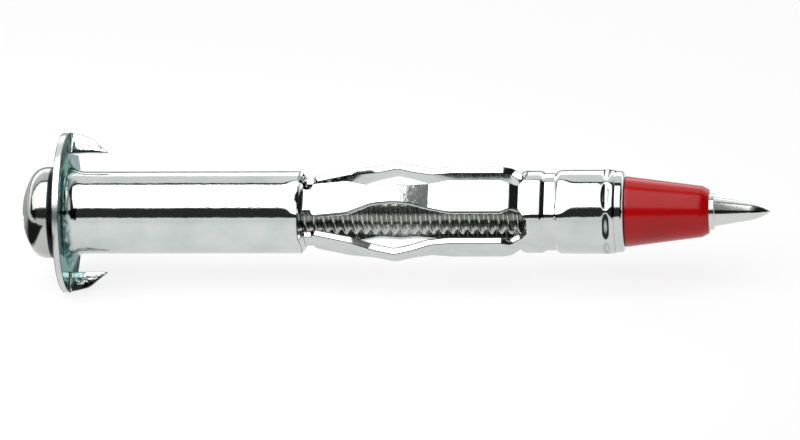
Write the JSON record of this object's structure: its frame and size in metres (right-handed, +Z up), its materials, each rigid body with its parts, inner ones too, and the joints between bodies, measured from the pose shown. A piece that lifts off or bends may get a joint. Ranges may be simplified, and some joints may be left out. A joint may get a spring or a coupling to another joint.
{
  "type": "hollow wall anchor",
  "caption": "Drive-in hollow wall anchor: slotted steel sleeve with a toothed flange, machine screw, captive nut and red nose cap.",
  "frame": {"origin": "on the anchor's axis, in the flange's wall face", "axes": "+X along the axis, from the screw's head to its driving point; +Z up, away from the flange's lower notch, on which the anchor lies"},
  "size_m": [0.0816, 0.0174, 0.017],
  "materials": {
    "sleeve_zinc": "bright zinc plating on formed sheet steel, glossy",
    "screw_zinc": "bright zinc plating on cold-headed steel, glossy",
    "nut_zinc": "zinc-plated steel, satin",
    "cap_plastic": "moulded red plastic, glossy"
  },
  "bodies": {
    "sleeve": {"expansion_sleeve": "sleeve_zinc", "threaded_nut": "nut_zinc", "nose_cap": "cap_plastic"},
    "screw": {"drive_screw": "screw_zinc"}
  },
  "joints": [
    {"name": "screw_turn", "type": "hinge", "parent": "sleeve", "child": "screw", "pos_m": [0, 0, 0], "axis": [1, 0, 0], "continuous": true}
  ]
}
